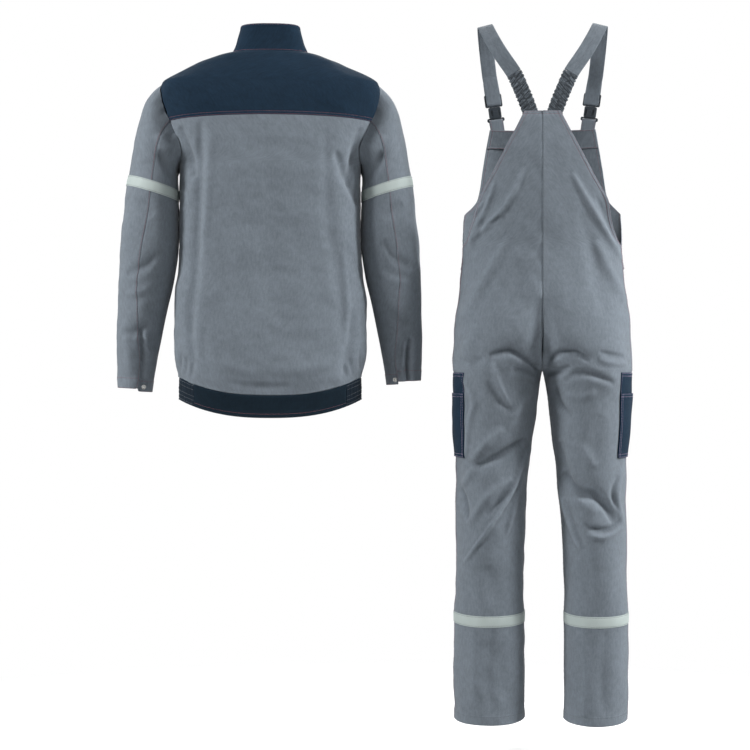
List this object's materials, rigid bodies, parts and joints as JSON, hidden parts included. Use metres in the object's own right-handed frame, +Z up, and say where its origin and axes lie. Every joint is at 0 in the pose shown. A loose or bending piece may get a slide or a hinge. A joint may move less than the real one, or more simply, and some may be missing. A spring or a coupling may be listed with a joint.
{
  "type": "welding suit",
  "caption": "Welding suit of a collared jacket and bib-and-brace overalls, hollow and filled out as if worn, with reflective bands and thigh pockets.",
  "frame": {"origin": "on the jacket's centre line at the level of its collar seam, where the wearer's shoulders carry it", "axes": "+Z up, +Y the way the wearer faces, +X the wearer's right, towards the overalls that stand beside the jacket"},
  "size_m": [1.0812, 0.2668, 1.4652],
  "materials": {
    "cloth_grey": "matt twill",
    "cloth_navy": "matt twill",
    "tape_silver": "retroreflective",
    "elastic_dark": "gathered over elastic",
    "plastic_black": "moulded",
    "snap_metal": "pressed"
  },
  "bodies": {
    "root": {"bib_front": "cloth_grey", "bib_tab_left": "cloth_grey", "bib_tab_right": "cloth_grey", "bib_top_band": "cloth_grey", "buckle_adjuster_left": "plastic_black", "buckle_adjuster_right": "plastic_black", "buckle_housing_left": "plastic_black", "buckle_housing_right": "plastic_black", "cuff_snap_left": "snap_metal", "cuff_snap_right": "snap_metal", "jacket_back": "cloth_grey", "jacket_back_yoke": "cloth_navy", "jacket_collar": "cloth_navy", "jacket_front_left": "cloth_grey", "jacket_front_placket": "cloth_grey", "jacket_front_right": "cloth_grey", "leg_tape_left": "tape_silver", "leg_tape_right": "tape_silver", "overalls_back_left": "cloth_grey", "overalls_back_right": "cloth_grey", "overalls_front_left": "cloth_grey", "overalls_front_right": "cloth_grey", "pocket_backing_left": "cloth_navy", "pocket_backing_right": "cloth_navy", "pocket_bag_left": "cloth_navy", "pocket_bag_right": "cloth_navy", "sleeve_tape_left": "tape_silver", "sleeve_tape_right": "tape_silver", "sleeve_under_left": "cloth_grey", "sleeve_under_right": "cloth_grey", "sleeve_upper_left": "cloth_grey", "sleeve_upper_right": "cloth_grey", "strap_elastic_left": "cloth_grey", "strap_elastic_right": "cloth_grey", "strap_left": "cloth_grey", "strap_right": "cloth_grey", "waistband_back": "cloth_navy", "waistband_elastic_left": "elastic_dark", "waistband_elastic_right": "elastic_dark", "waistband_front_left": "cloth_navy", "waistband_front_right": "cloth_navy"}
  },
  "joints": []
}
